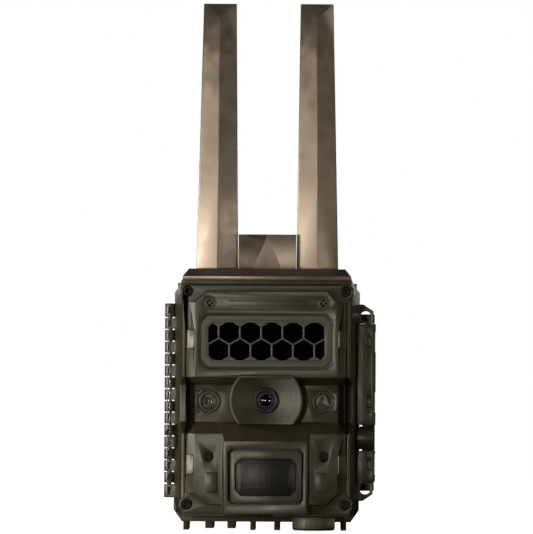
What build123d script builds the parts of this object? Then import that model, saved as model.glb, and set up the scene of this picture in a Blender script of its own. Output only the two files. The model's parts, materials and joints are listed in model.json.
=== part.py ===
from build123d import *
import os
from math import sqrt

os.makedirs("parts", exist_ok=True)

# A trail camera in two hinged halves. The front faces -Y, Z is up, all in millimetres.
# Depths named *_front are distances forward of the split plane between the halves.

# Overall sizes
body_width = 99.4
body_height = 125.2
front_bottom = 8.3
rear_drop = 3.8
rear_depth = 32.0
rail_depth = 8.0
split_gap = 0.4
wall = 2.4
side_wall = 4.0
flank_slope = 0.2
rear_slope = 0.04
corner_across = 4.5
corner_up = 7.5

# Stepped front
upper_front = 32.0
middle_front = 24.0
lower_front = 31.0
block_front = 36.0
facet_back = 4.5
edge_lip = 0.8
parting_width = 0.5
parting_depth = 0.9
line_width = 0.5
line_depth = 0.6
lens_height = 61.4
band_above = 8.2
band_below = 11.5
brow_rise = 4.1
slope_rise = 6.1
block_rise = 9.9
cover_half = 42.2
facet_width = 4.4
cover_margin_top = 2.0
cover_margin_bottom = 1.6
land_height = 9.9
land_bottom = 10.7
land_cut = 6.1
ear_half = 45.8
boss_radius = 4.6
boss_rise = 2.6

# Fits
loose = 0.3
seat = 0.1
running = 0.05

# Hinge, latch and lock tube
hinge_offset = 2.4
knuckle_radius = 2.75
hinge_pin_radius = 1.25
knuckle_pitch = 6.35
knuckle_count = 16
end_extra = 1.5
hinge_rise = 9.0
latch_length = 84.4
latch_hook_front = 9.9
latch_thick = 5.2
latch_reach = 8.5
pivot_back = 13.0
latch_pin_radius = 1.5
tube_height = 41.6
tube_front = 11.2
tube_radius = 5.0
tube_bore_radius = 4.2
collar_wall = 1.15
notch_gap = 0.45
ear_hole_radius = 2.75
ear_hole_out = 3.25
ear_reach = 7.4

# Infrared window
ir_drop = 30.6
ir_frame_width = 69.0
ir_frame_height = 27.1
ir_open_width = 61.6
ir_open_height = 19.9
ir_corner = 3.7
ir_step = 1.1
hex_pitch = 11.24
hex_rib = 0.9

# Lens
hood_radius = 19.2
hood_front = 35.0
hood_wall = 1.4
hood_top = 13.2
hood_bottom = 12.5
barrel_radius = 7.0
lens_radius = 2.95
lens_ring_radius = 4.1

# Motion sensor block
block_half = 21.8
block_draft = 3.2
block_window_width = 40.0
block_window_height = 29.0
block_window_rise = 5.3
pir_open_width = 32.4
pir_open_height = 19.3
pir_bulge_radius = 62.0
pir_corner = 3.2

# Batteries
cell_radius = 7.1
cell_length = 50.5
cell_gap = 0.65
spring_height = 3.2
contact_thick = 0.4
tray_back_wall = 0.8

# Top
cap_height = 6.1
antenna_height = 141.9
antenna_foot = 22.3
antenna_tip = 17.6
antenna_out = 26.7
antenna_lean = 0.85
antenna_slope_height = 8.4
antenna_depth_foot = 12.0
antenna_depth_tip = 9.0
antenna_edge = 3.2
bridge_height = 18.5

# Port plug
plug_x = 25.4
plug_forward = 14.0
plug_flats = 22.7
plug_stem_radius = 7.5

# Small parts
screw_head_radius = 2.5
screw_head_height = 2.2
screw_shank_radius = 1.1
screw_length = 9.0
grille_radius = 3.5
grille_hole_radius = 1.8
cup_radius = 4.5
cup_groove_radius = 5.9
board_thick = 1.6
board_gap = 0.2
panel_thick = 2.0
button_radius = 4.2
button_travel = 0.6

# Worked out from the sizes above
half_width = body_width / 2
top_z = front_bottom + body_height
rear_bottom = front_bottom - rear_drop
cover_top = top_z - cover_margin_top
cover_bottom = front_bottom + cover_margin_bottom
lens_z = front_bottom + lens_height
brow_bottom = lens_z + band_above
brow_top = brow_bottom + brow_rise
slope_top = lens_z - band_below
slope_bottom = slope_top - slope_rise
block_top = slope_top - block_rise
land_top_z = cover_top - land_height
land_bottom_z = cover_bottom + land_bottom
ir_z = cover_top - ir_drop
tube_z = front_bottom + tube_height
tube_forward = tube_front - tube_radius
collar_radius = tube_radius + collar_wall
notch_half = collar_radius + notch_gap
notch_front = tube_front + 1.4
trough_half_height = notch_half + 1.6
trough_front = notch_front + 1.6
board_front = trough_front + board_gap + board_thick
cell_pitch = 2 * cell_radius + cell_gap
hinge_x = -half_width - hinge_offset
hinge_low = front_bottom + hinge_rise
hinge_high = hinge_low + knuckle_pitch * knuckle_count + 2 * end_extra
latch_z = lens_z - 1.1
latch_low = latch_z - latch_length / 2
latch_high = latch_z + latch_length / 2
latch_outer = half_width + latch_reach
pivot_x = latch_outer - knuckle_radius - 0.9
rim_back = facet_back + edge_lip
cap_top = top_z + cap_height
tongue_half = half_width - side_wall
rear_mouth = half_width - side_wall - loose
grille_x, grille_z = 30.1, land_top_z - 0.4


def block(x0, x1, y0, y1, z0, z1):
    """Box between two opposite corners."""
    middle = ((x0 + x1) / 2, (y0 + y1) / 2, (z0 + z1) / 2)
    return Pos(*middle) * Box(abs(x1 - x0), abs(y1 - y0), abs(z1 - z0))


def along_x(x0, x1, outline):
    """Prism along X of a (y, z) outline."""
    return extrude(Plane.YZ.offset(x0) * Polygon(*outline, align=None), x1 - x0, dir=(1, 0, 0))


def along_z(z0, z1, outline):
    """Prism along Z of an (x, y) outline."""
    return extrude(Plane.XY.offset(z0) * Polygon(*outline, align=None), z1 - z0, dir=(0, 0, 1))


def forward(y0, y1, outline):
    """Prism from y0 forward to y1 of an (x, z) outline."""
    return extrude(Plane.XZ.offset(-y0) * Polygon(*outline, align=None), y0 - y1, dir=(0, -1, 0))


def rod_x(x0, x1, y, z, radius):
    return Pos((x0 + x1) / 2, y, z) * Rot(0, 90, 0) * Cylinder(radius, abs(x1 - x0))


def rod_y(x, y0, y1, z, radius):
    return Pos(x, (y0 + y1) / 2, z) * Rot(90, 0, 0) * Cylinder(radius, abs(y1 - y0))


def rod_z(x, y, z0, z1, radius):
    return Pos(x, y, (z0 + z1) / 2) * Cylinder(radius, abs(z1 - z0))


def cornered(half, z0, z1, across, up, x=0.0):
    """Rectangle outline (x, z) with its four corners cut off."""
    left, right = x - half, x + half
    return [(left + across, z0), (right - across, z0), (right, z0 + up), (right, z1 - up),
            (right - across, z1), (left + across, z1), (left, z1 - up), (left, z0 + up)]


def group(solids):
    return Compound(children=list(solids))


def step_line(back, high, low):
    """Front of the body seen from the side, set back by a distance, from high to low."""
    return [(back - upper_front, high), (back - upper_front, brow_top),
            (back - middle_front, brow_bottom), (back - middle_front, slope_top),
            (back - lower_front, slope_bottom), (back - lower_front, low)]


def step_prism(back, high, low, half, rear):
    """Solid behind the stepped front line, as far back as rear."""
    return along_x(-half, half, step_line(back, high, low) + [(rear, low), (rear, high)])


nodes = {}

# Front housing: the shell that carries the electronics
far = 60.0


def flank(half, slope, y_back, y_front, z0, z1):
    """Prism with sides that close in by slope per millimetre of distance from y = 0."""
    back, front = half - slope * abs(y_back), half - slope * abs(y_front)
    return along_z(z0, z1, [(-back, y_back), (back, y_back), (front, y_front), (-front, y_front)])


shell = flank(half_width, flank_slope, -split_gap, -far, front_bottom, top_z)
shell &= step_prism(rim_back, top_z, front_bottom, far, -split_gap)
shell &= forward(-split_gap, -far, cornered(half_width, front_bottom, top_z, corner_across, corner_up))
screw_x = ear_half - 4.0
screw_high = cover_top - 4.0
screw_low = cover_bottom + 4.8
corner_screws = [(side * screw_x, z, front - rim_back) for side in (-1, 1)
                 for z, front in ((screw_high, upper_front), (screw_low, lower_front))]
for x, z, front in corner_screws:
    ear = cornered(6.5, z - 4.6, z + 3.6, 2.5, 2.5, x / screw_x * (ear_half - 6.5))
    shell += forward(-split_gap, -front, ear)
cavity = flank(tongue_half, flank_slope, 0, -far, front_bottom + wall, top_z - wall)
cavity &= step_prism(rim_back + wall, top_z - wall, front_bottom + wall, far, 0)
shell -= cavity
opening_half = cover_half - facet_width - 2.4
opening_low, opening_high = land_bottom_z - 3.0, land_top_z + 4.0
shell -= forward(-5, -far, cornered(opening_half, opening_low, opening_high, land_cut, land_cut))
for x, z, front in corner_screws:
    shell += rod_y(x, -15, -front, z, 3.2) & flank(half_width, flank_slope, -1, -far, front_bottom, top_z)
panel_screw_x = 30.4
panel_screw_z = 40.0
for side in (-1, 1):
    tower = rod_y(side * panel_screw_x, -18, -(lower_front - wall - 0.8), panel_screw_z, 3.2)
    arm = block(side * panel_screw_x, side * (tongue_half - 4), -24, -18, panel_screw_z - 1.2,
                panel_screw_z + 1.2)
    shell += tower + arm
latch_pocket = block(half_width - 1.8, far, 0, -13.5, latch_low - 0.9, latch_high + 0.9)
shell -= latch_pocket
hinge_relief = rod_z(hinge_x, 0, hinge_low - 0.4, hinge_high + 0.4, knuckle_radius + 0.35)
shell -= hinge_relief
for side in (-1, 1):
    strip = block(side * (cover_half - 0.1), side * (cover_half + parting_width), 0, -far, land_bottom_z, land_top_z)
    shell -= strip - step_prism(rim_back + parting_depth, top_z, front_bottom, far, 0)
    shell -= rod_y(side * grille_x, -5, -far, grille_z, 4.1)
hinge_bar_in = -half_width + 4.3
hinge_bar = shell & block(-far, hinge_bar_in, 0, -1.9, tube_z - notch_half - 1.4, tube_z + notch_half + 1.4)
notch_slant = 3.2
notch_low, notch_high = tube_z - notch_half, tube_z + notch_half
tube_notch = along_x(-far, far, [
    (0, notch_low), (2.4 - notch_front, notch_low), (-notch_front, notch_low + notch_slant),
    (-notch_front, notch_high - notch_slant), (2.4 - notch_front, notch_high), (0, notch_high)])
shell -= tube_notch
shell += hinge_bar
plug_bore_radius = plug_stem_radius + 0.2
shell -= rod_z(plug_x, -plug_forward, front_bottom - 1, front_bottom + wall + 1, plug_bore_radius)
shell -= forward(-split_gap - 8, -far, [(-5.2, front_bottom - 1), (3.9, front_bottom - 1),
                                        (3.9, front_bottom + 0.9), (-5.2, front_bottom + 0.9)])


def knuckle_span(k):
    """Lowest and highest z of one hinge knuckle, counted from the bottom."""
    low = hinge_low + end_extra + k * knuckle_pitch
    high = low + knuckle_pitch * 0.9
    if k == 0:
        low -= end_extra
    if k == knuckle_count - 1:
        high += end_extra
    return low, high


def knuckle(k, reach_y, bore):
    """One hinge knuckle with its web, bore and the slot that shows the pin."""
    low, high = knuckle_span(k)
    body = rod_z(hinge_x, 0, low, high, knuckle_radius)
    body += block(hinge_x, -half_width + 1.6, reach_y, reach_y / abs(reach_y) * 0.45, low, high)
    body -= rod_z(hinge_x, 0, low - 1, high + 1, bore)
    middle = (low + high) / 2
    return body - block(hinge_x - 0.8, hinge_x + 0.8, -far, -0.6, middle - 1.6, middle + 1.6)


for k in range(0, knuckle_count, 2):
    shell += knuckle(k, -knuckle_radius, hinge_pin_radius + running)
screw_pilot = screw_shank_radius + 0.02
panel_screws = [(side * panel_screw_x, panel_screw_z, lower_front - wall - 0.8) for side in (-1, 1)]
for x, z, front in corner_screws + panel_screws:
    shell -= rod_y(x, -front - 1, -front + screw_length, z, screw_pilot)
nodes["front_housing"] = shell

# Rear housing: the shell that holds the batteries and is strapped to a tree
rear = flank(half_width, rear_slope, 0, rear_depth, rear_bottom, top_z)
rear_outline = cornered(half_width + 0.8, rear_bottom, top_z, corner_across + 0.8, corner_up)
rear &= forward(rear_depth, -1, rear_outline)
rear = chamfer(rear.edges().filter_by(Axis.Z).group_by(Axis.Y)[-1], 4.0)
rear_low, rear_high = front_bottom + wall - 0.6, top_z - wall
rear -= block(-rear_mouth, rear_mouth, -1, rear_depth - wall, rear_low, rear_high)
gasket_mid = half_width - 2.4
gasket_z0, gasket_z1 = front_bottom + 1.15, top_z - 1.15


def ring(half_out, z0, z1, width, y0, y1):
    """Flat rectangular ring in the split plane."""
    outer = block(-half_out, half_out, y0, y1, z0, z1)
    return outer - block(-half_out + width, half_out - width, y0 - 1, y1 + 1, z0 + width, z1 - width)


rear -= hinge_relief
gasket = ring(gasket_mid + 0.7, gasket_z0, gasket_z1, 1.4, -0.3, 1.5)
nodes["housing_gasket"] = gasket - rod_x(-far, far, -tube_forward, tube_z, tube_radius + loose)
for k in range(1, knuckle_count, 2):
    rear += knuckle(k, knuckle_radius, hinge_pin_radius)
nodes["hinge_pin"] = rod_z(hinge_x, 0, hinge_low + 0.6, hinge_high - 0.6, hinge_pin_radius)

# Feet, each a rib that rises to the back
foot_places = [(-43.0, 1.45, 0.0), (-30.4, 2.3, 0.9), (-18.6, 2.2, 0.9), (-7.1, 1.4, 0.0),
               (5.9, 1.6, 0.0), (41.5, 1.5, 0.0)]
for x, half, lift in foot_places:
    rear += along_x(x - half, x + half, [(0.8, rear_bottom + 0.5), (0.8, lift), (24, lift),
                                         (30, rear_bottom + 0.5)])

# Ears for a tie or padlock, and lugs for the latch pin
ear_x = half_width + ear_hole_out
ear_z = [latch_low - 4.2, latch_high + 4.2]
for z in ear_z:
    up = 1 if z > lens_z else -1
    end = z + up * 6.3
    start = z - up * 3.8
    rear += extrude(Plane.XZ.offset(-5.2) * Polygon(
        (half_width - 2, start), (half_width + ear_reach, start), (half_width + ear_reach, end - up * 3.6),
        (half_width + ear_reach - 5.5, end), (half_width - 2, end), align=None), 4.4, dir=(0, -1, 0))
    rear -= rod_y(ear_x, -1, 8, z, ear_hole_radius)
    lug_end = start + up * 5.0
    rear += block(half_width - 2.2, pivot_x, pivot_back - 3.4, pivot_back + 3.4, start, lug_end)
    rear += rod_z(pivot_x, pivot_back, start, lug_end, 3.4)
    rear -= rod_z(pivot_x, pivot_back, start - 6, lug_end + 6, latch_pin_radius)
nodes["latch_pin"] = rod_z(pivot_x, pivot_back, ear_z[0] - 1.0, ear_z[1] + 1.0, latch_pin_radius)

# Webs that carry the lock tube, and the rails for the strap
for side in (-1, 1):
    rear += block(side * (rear_mouth + 0.5), side * (rear_mouth - 3.4), 0.6, 8, tube_z - tube_radius + 0.5,
                  tube_z + tube_radius - 0.5)
    rear += block(side * (rear_mouth - 0.8), side * (rear_mouth - 3.4), 0.6 - tube_forward, 8,
                  tube_z - tube_radius + 0.5, tube_z + tube_radius - 0.5)
rear -= rod_x(-far, far, -tube_forward, tube_z, tube_radius)
rear -= rod_x(half_width - 1.2, far, -tube_forward, tube_z, collar_radius)
rear -= ring(gasket_mid + 0.75, gasket_z0 - 0.05, gasket_z1 + 0.05, 1.5, -1, 1.5)
rail_low, rail_high = 34.0, 106.0
slot_length, slot_depth = 30.0, 4.6
for side in (-1, 1):
    rail = block(side * 26, side * 32, rear_depth - 0.5, rear_depth + rail_depth, rail_low, rail_high)
    rail = chamfer(rail.edges().filter_by(Axis.X).group_by(Axis.Y)[-1], 5.0)
    rear += rail - block(side * 20, side * 40, rear_depth + 0.6, rear_depth + 0.6 + slot_depth,
                         lens_z - slot_length / 2, lens_z + slot_length / 2)
insert_radius, insert_length = 5.0, 9.0
insert_z = rear_bottom + 14.0
insert_boss = rod_y(0, rear_depth - 1, rear_depth + rail_depth, insert_z, insert_radius + 3)
rear += insert_boss
insert_back = rear_depth + rail_depth
rear -= rod_y(0, insert_back - insert_length, insert_back + 1, insert_z, insert_radius)
thread_radius = 3.175
insert = rod_y(0, insert_back - insert_length, insert_back, insert_z, insert_radius)
nodes["tripod_insert"] = insert - rod_y(0, insert_back - insert_length + 1, insert_back + 1, insert_z, thread_radius)
nodes["rear_housing"] = rear
tube = rod_x(hinge_bar_in + 0.4, half_width - 1.2, -tube_forward, tube_z, tube_radius)
tube += rod_x(half_width - 1.2, latch_outer - 1.2, -tube_forward, tube_z, collar_radius)
nodes["lock_tube"] = tube - rod_x(-far, far + 10, -tube_forward, tube_z, tube_bore_radius)

# Latch: a lever on a vertical pin that closes over the flank
hook_in = half_width - 1.5
arm_in = latch_outer - latch_thick
section = [(hook_in, -latch_hook_front), (latch_outer - 3.2, -latch_hook_front),
           (latch_outer - 0.9, -latch_hook_front + 1.0), (latch_outer, -latch_hook_front + 3.2),
           (latch_outer, pivot_back - 1.5), (latch_outer - 1.4, pivot_back + 2.4),
           (pivot_x, pivot_back + 3.2), (pivot_x - 2.9, pivot_back - 1.2), (arm_in, pivot_back - 5.0),
           (arm_in, 4.0), (arm_in - 0.8, -latch_hook_front + 4.6), (hook_in, -latch_hook_front + 3.4)]
latch = along_z(latch_low, latch_high, section)
latch += rod_z(pivot_x, pivot_back, latch_low, latch_high, 3.2)
lip_length, narrow_length, narrow_inset = 4.3, 10.6, 0.9
narrow_starts = [latch_low + lip_length, latch_z - 4.8, latch_high - lip_length - narrow_length]
for start in narrow_starts:
    latch -= block(latch_outer - narrow_inset, far + 10, -far, pivot_back - 6, start, start + narrow_length)
    latch -= block(latch_outer - 4.8, latch_outer - 2.4, -far, -latch_hook_front + 2.6, start + 2.3,
                   start + narrow_length - 2.3)
latch -= block(0, far + 10, -far, 9.4, tube_z - collar_radius - 0.75, tube_z + collar_radius + 0.75)
latch -= rod_z(pivot_x, pivot_back, latch_low - 1, latch_high + 1, latch_pin_radius + running)
nodes["latch"] = latch

# Front cover: the stepped face plate with its recesses
plate = step_prism(rim_back - edge_lip - 1.2, cover_top, cover_bottom, far, 0)
plate &= forward(0, -far, [
    (-cover_half - 1.3, cover_top), (cover_half + 1.3, cover_top), (ear_half, cover_top - 3.4),
    (ear_half, cover_top - 5.5), (cover_half, land_top_z + 0.7), (cover_half, land_bottom_z - 0.8),
    (ear_half, cover_bottom + 5.8), (ear_half - 2.4, cover_bottom), (2.4 - ear_half, cover_bottom),
    (-ear_half, cover_bottom + 5.8), (-cover_half, land_bottom_z - 0.8), (-cover_half, land_top_z + 0.7),
    (-ear_half, cover_top - 5.5), (-ear_half, cover_top - 3.4)])
flat_half = cover_half - facet_width
face = step_prism(0, land_top_z + land_cut, land_bottom_z - land_cut, flat_half, 0)
for side in (-1, 1):
    outline = step_line(0, land_top_z, land_bottom_z) + [(0, land_bottom_z), (0, land_top_z)]
    start = Plane.YZ.offset(side * flat_half) * Polygon(*outline, align=None)
    face += extrude(start, facet_width * sqrt(1 + (facet_back / facet_width) ** 2),
                    dir=(side * facet_width, facet_back, 0))


def land(grow):
    """Outline of the raised face, larger by grow all round."""
    reach, inner, edge = cover_half + grow, flat_half - land_cut, flat_half
    high, low = land_top_z + grow, land_bottom_z - grow
    return [(-reach, high), (-edge, high), (-inner, high + land_cut), (inner, high + land_cut), (edge, high),
            (reach, high), (reach, low), (edge, low), (inner, low - land_cut), (-inner, low - land_cut),
            (-edge, low), (-reach, low)]


face &= forward(20, -far, land(0))
cover = plate + face
bevel_y, bevel_low = rim_back - upper_front - 0.9, land_top_z + land_cut
top_bevel = along_x(-far, far, [(-upper_front - 1, cover_top + 0.1), (bevel_y, cover_top + 0.1), (bevel_y, cover_top),
                                (-upper_front, bevel_low), (-upper_front - 1, bevel_low)])
cover -= top_bevel
cover_line = forward(0, -far, land(line_width / 2)) - forward(0, -far, land(-line_width / 2))
cover -= cover_line & block(-flat_half, flat_half, -upper_front + line_depth, -far, lens_z, far * 3)
cover -= cover_line & block(-flat_half, flat_half, -lower_front + line_depth, -far, 0, land_bottom_z)
for x, z, front in corner_screws:
    boss_back = front - rim_back + facet_back
    boss = Plane.XZ.offset(boss_back) * Pos(x, z) * Rot(0, 0, 22.5) * RegularPolygon(boss_radius, 8)
    cover += extrude(boss, boss_rise, dir=(0, -1, 0))


def sensor_block(half, front, high, low, draft):
    """Drafted block that stands proud of the lower front."""
    shoulder = 12 - front
    side = along_x(-far, far, [(0, low), (-front, low), (-front, high), (shoulder, high + block_rise),
                               (0, high + block_rise)])
    plan = along_z(low - 1, high + 20, [(-half - draft, shoulder), (half + draft, shoulder),
                                        (half, -front), (-half, -front)])
    plan += block(-half - draft, half + draft, 0, shoulder, low - 1, high + 20)
    return side & plan


cover += sensor_block(block_half, block_front, block_top, cover_bottom, block_draft)
behind_low, behind_high, behind_half = opening_low + 0.6, opening_high - 0.6, opening_half - 0.6
behind = step_prism(wall, behind_high, behind_low, behind_half, 10)
behind &= forward(10, -far, cornered(behind_half, behind_low, behind_high, land_cut, land_cut))
cover -= behind
cover -= along_x(-far, far, [(20, -10)] + [(y, z) for y, z in reversed(step_line(rim_back, top_z, -10))]
                 + [(20, top_z)])
hood_hole = rod_y(0, 0, -far, lens_z, hood_radius + seat)
hood_limits = block(-far, far, 0, -far, lens_z - hood_bottom - seat, lens_z + hood_top + seat)
cover -= hood_hole & hood_limits

# Infrared window: honeycomb grille, dark window, board and emitters
ir_seat = 3.0
ir_frame_outline = cornered(ir_frame_width / 2, ir_z - ir_frame_height / 2, ir_z + ir_frame_height / 2,
                            ir_corner, ir_corner)
ir_open_outline = cornered(ir_open_width / 2, ir_z - ir_open_height / 2, ir_z + ir_open_height / 2,
                           ir_corner * 0.7, ir_corner * 0.7)
ir_pocket = cornered(ir_frame_width / 2 + seat, ir_z - ir_frame_height / 2 - seat,
                     ir_z + ir_frame_height / 2 + seat, ir_corner, ir_corner)
backing_rim = ir_frame_height / 2 + wall
backing_half = min(ir_frame_width / 2 + wall, opening_half)
cover += forward(-upper_front + 4.5, -upper_front + 1, cornered(
    backing_half, ir_z - backing_rim, ir_z + backing_rim, ir_corner, ir_corner))
cover -= forward(-upper_front + ir_seat, -far, ir_pocket)
cover -= forward(-upper_front + 0.5, -far, cornered(
    ir_frame_width / 2 + ir_step, ir_z - ir_frame_height / 2 - ir_step, ir_z + ir_frame_height / 2 + ir_step,
    ir_corner, ir_corner))
cover -= forward(-upper_front + 10, -far, ir_open_outline)
hex_side = hex_pitch / sqrt(3)
hex_flat_radius = (hex_pitch - hex_rib) / sqrt(3)
opening = forward(-upper_front + ir_seat + 0.1, -upper_front - 1, ir_open_outline)
grille = forward(-upper_front + ir_seat, -upper_front + 0.3, ir_frame_outline)
cells = []
columns = int(ir_open_width / hex_pitch / 2) + 1
for row in (-1, 1):
    z = ir_z + row * 0.75 * hex_side
    for k in range(-columns, columns + 1):
        x = (k + 0.25 * row) * hex_pitch
        prism = extrude(Plane.XZ.offset(upper_front - ir_seat - 0.5) * Pos(x, z) * Rot(0, 0, 30)
                        * RegularPolygon(hex_flat_radius, 6), 5, dir=(0, -1, 0))
        if abs(x) < ir_open_width / 2 + hex_pitch / 2:
            cells.append((x, z))
            grille -= prism & opening
grille -= forward(-upper_front + 1.3, -upper_front - 1, ir_open_outline)
grille -= forward(-upper_front + 0.8, -upper_front - 1, cornered(
    ir_open_width / 2 + ir_step, ir_z - ir_open_height / 2 - ir_step, ir_z + ir_open_height / 2 + ir_step,
    ir_corner, ir_corner))
nodes["ir_grille"] = grille
window_thick = 1.5
window_back = upper_front - ir_seat - window_thick
nodes["ir_window"] = forward(-window_back, -window_back - window_thick, cornered(
    ir_open_width / 2 - seat, ir_z - ir_open_height / 2 + seat, ir_z + ir_open_height / 2 - seat,
    ir_corner * 0.7, ir_corner * 0.7))
ir_board_front = 22.5
nodes["ir_board"] = block(-ir_frame_width / 2 + 2, ir_frame_width / 2 - 2, -ir_board_front,
                          -ir_board_front + board_thick, ir_z - 12, ir_z + 12)
led_radius, led_body = 2.5, 2.3
leds = [rod_y(x, -ir_board_front, -ir_board_front - led_body, z, led_radius)
        + Pos(x, -ir_board_front - led_body, z) * Sphere(led_radius - 0.1)
        - block(x - 4, x + 4, -ir_board_front, 0, z - 4, z + 4)
        for x, z in cells if abs(x) < ir_open_width / 2 - 2]
nodes["ir_emitters"] = group(leds)

# Lens hood, lens and sensor
hood = rod_y(0, -middle_front + 3, -hood_front, lens_z, hood_radius)
hood &= block(-far, far, 0, -far, lens_z - hood_bottom, lens_z + hood_top)
cone = []
steps = 12
throat_radius, throat_front = 8.2, middle_front + 2.5
mouth = hood_radius - hood_wall
for i in range(steps):
    radius = throat_radius + (mouth - throat_radius) * i / (steps - 1)
    depth = throat_front + (hood_front - 1.6 - throat_front) * i / (steps - 1)
    cone.append(rod_y(0, -depth, -far, lens_z, radius))
bowl = cone[0]
for ring_cut in cone[1:]:
    bowl += ring_cut
bowl &= block(-far, far, 0, -far, lens_z - far, lens_z + hood_top - hood_wall)
hood -= bowl
lens_bore = rod_y(0, 0, -far, lens_z, barrel_radius + seat)
hood -= lens_bore
nodes["lens_hood"] = hood
barrel_front = middle_front + 0.6
filter_front = board_front + 4.0
barrel = rod_y(0, -filter_front - 0.3, -barrel_front, lens_z, barrel_radius)
barrel -= rod_y(0, 0, -far, lens_z, lens_radius + 0.4)
nodes["lens_barrel"] = barrel
bezel = rod_y(0, -barrel_front, -barrel_front - 1.4, lens_z, barrel_radius)
bezel -= rod_y(0, -barrel_front - 0.7, -far, lens_z, lens_ring_radius + 1.0)
bezel += rod_y(0, -barrel_front, -barrel_front - 1.2, lens_z, lens_ring_radius)
bezel -= rod_y(0, 0, -far, lens_z, lens_radius + seat)
nodes["lens_ring"] = bezel
glass = rod_y(0, -barrel_front, -barrel_front - 0.5, lens_z, lens_radius)
glass += Pos(0, -barrel_front + 3.6, lens_z) * Sphere(sqrt(lens_radius ** 2 + 4.1 ** 2)) & rod_y(
    0, -barrel_front - 0.4, -far, lens_z, lens_radius)
nodes["front_lens"] = glass
nodes["lens_elements"] = group([
    rod_y(0, -filter_front - 1.0, -filter_front - 2.0, lens_z, lens_radius + 0.4),
    rod_y(0, -filter_front - 2.6, -filter_front - 3.6, lens_z, lens_radius + 0.4)])
nodes["image_sensor"] = block(-5.5, 5.5, -board_front, -board_front - 1.4, lens_z - 4.5, lens_z + 4.5)
filter_travel = 7.0
filter_half = 4.2
nodes["ircut_filter"] = block(-filter_half, filter_half + filter_travel + 1.0, -filter_front + 0.8, -filter_front,
                              lens_z - filter_half, lens_z + filter_half)
track = block(-14, 22, -board_front, -filter_front - 0.2, lens_z - 7.0, lens_z + 7.0)
track -= block(-12.8, 20.8, -filter_front + 1.0, -filter_front - running, lens_z - 4.4, lens_z + 4.4)
track -= block(-12.8, 20.8, 0, -filter_front + 0.9, lens_z - 5.4, lens_z + 5.4)
track -= rod_y(0, 0, -far, lens_z, 4.6)
nodes["filter_track"] = track

# Status light and light sensor in their cups
cup_x, cup_z = 30.1, lens_z - 0.7
cup_depth = 3.0
for side, name in ((-1, "status_light"), (1, "light_sensor_lens")):
    cover -= rod_y(side * cup_x, -middle_front + cup_depth, -far, cup_z, cup_radius)
    groove = rod_y(side * cup_x, -middle_front + 0.8, -far, cup_z, cup_groove_radius + 0.35)
    cover -= groove - rod_y(side * cup_x, 0, -far, cup_z, cup_groove_radius - 0.35)
    cup_floor = cup_depth - middle_front
    cover += rod_y(side * cup_x, cup_floor + 1.2, cup_floor, cup_z, cup_radius + 0.8)
    cover -= rod_y(side * cup_x, 0, -far, cup_z, 1.3)
    dome = rod_y(side * cup_x, -middle_front + cup_depth + 1.2, -middle_front + cup_depth, cup_z, 1.3 - 0.05)
    nodes[name] = dome + Pos(side * cup_x, -middle_front + cup_depth, cup_z) * Sphere(1.25)

# Microphone and speaker behind round grilles
grilles = []
for side in (-1, 1):
    x = side * grille_x
    cover -= rod_y(x, 0, -far, grille_z, grille_radius + 0.05)
    disc = rod_y(x, -upper_front + wall, -upper_front + 0.5, grille_z, grille_radius)
    dish = rod_y(x, -upper_front + 1.2, -far, grille_z, grille_radius - 0.7)
    disc -= dish - rod_y(x, 0, -far, grille_z, grille_hole_radius + 0.7)
    hole = rod_y(x, 0, -far, grille_z, grille_hole_radius)
    for turn in (45, 135):
        hole -= Pos(x, -upper_front + wall, grille_z) * Rot(0, turn, 0) * Box(0.7, 3, 8)
    grilles.append(disc - hole)
nodes["sound_grilles"] = group(grilles)
nodes["microphone"] = rod_y(-grille_x, -upper_front + wall + 2.7, -upper_front + wall + 0.1, grille_z, 3.0)
nodes["speaker"] = rod_y(grille_x, -upper_front + wall + 3.9, -upper_front + wall + 0.1, grille_z, 3.5)
for side in (-1, 1):
    cover -= rod_y(side * grille_x, 0, -upper_front + wall, grille_z, 3.8)
nodes["name_bar"] = block(-20, 20, -upper_front, -upper_front - 0.5, grille_z - 1.6, grille_z + 1.6)

# Motion sensor window
frame_low = cover_bottom + block_window_rise
frame_high = frame_low + block_window_height
frame_half = block_window_width / 2
frame_mid = (frame_low + frame_high) / 2 - 0.4
window_deep = 4.2
cover -= forward(-lower_front + wall, -block_front + window_deep + 1.6, cornered(
    block_half - wall, opening_low + 0.6, block_top - 2, 2, 2))
cover -= forward(-block_front + window_deep, -far, cornered(frame_half, frame_low, frame_high, 2.2, 2.2))
pir_half = frame_half - 0.9
pir_outline = cornered(pir_half, frame_low + 0.8, frame_high - 0.8, 2.0, 2.0)


def pir_opening(grow):
    """Outline of the sensor's opening, larger by grow on every side."""
    reach = pir_open_height / 2 + grow
    return cornered(pir_open_width / 2 + grow, frame_mid - reach, frame_mid + reach, pir_corner, pir_corner)


cover -= forward(0, -far, pir_opening(1.0))


def bulge(front):
    """Upright cylinder whose front touches a distance ahead of the split plane."""
    return rod_z(0, pir_bulge_radius - front, cover_bottom, frame_high + 5, pir_bulge_radius)


pir_front = block_front + 1.4
frame_solid = forward(-block_front + window_deep, -far, pir_outline) & bulge(pir_front)
nodes["pir_frame"] = frame_solid - forward(0, -far, pir_opening(0))
lens_skin = bulge(pir_front - 0.9) - bulge(pir_front - 1.9)
nodes["pir_lens"] = forward(-block_front + window_deep + 3, -far, pir_opening(-seat)) & lens_skin
pir_sensor = rod_y(0, -board_front, -board_front - 4.2, frame_mid, 4.1)
pir_sensor += rod_y(0, -board_front, -board_front - 0.6, frame_mid, 4.7)
nodes["pir_sensor"] = pir_sensor

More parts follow.
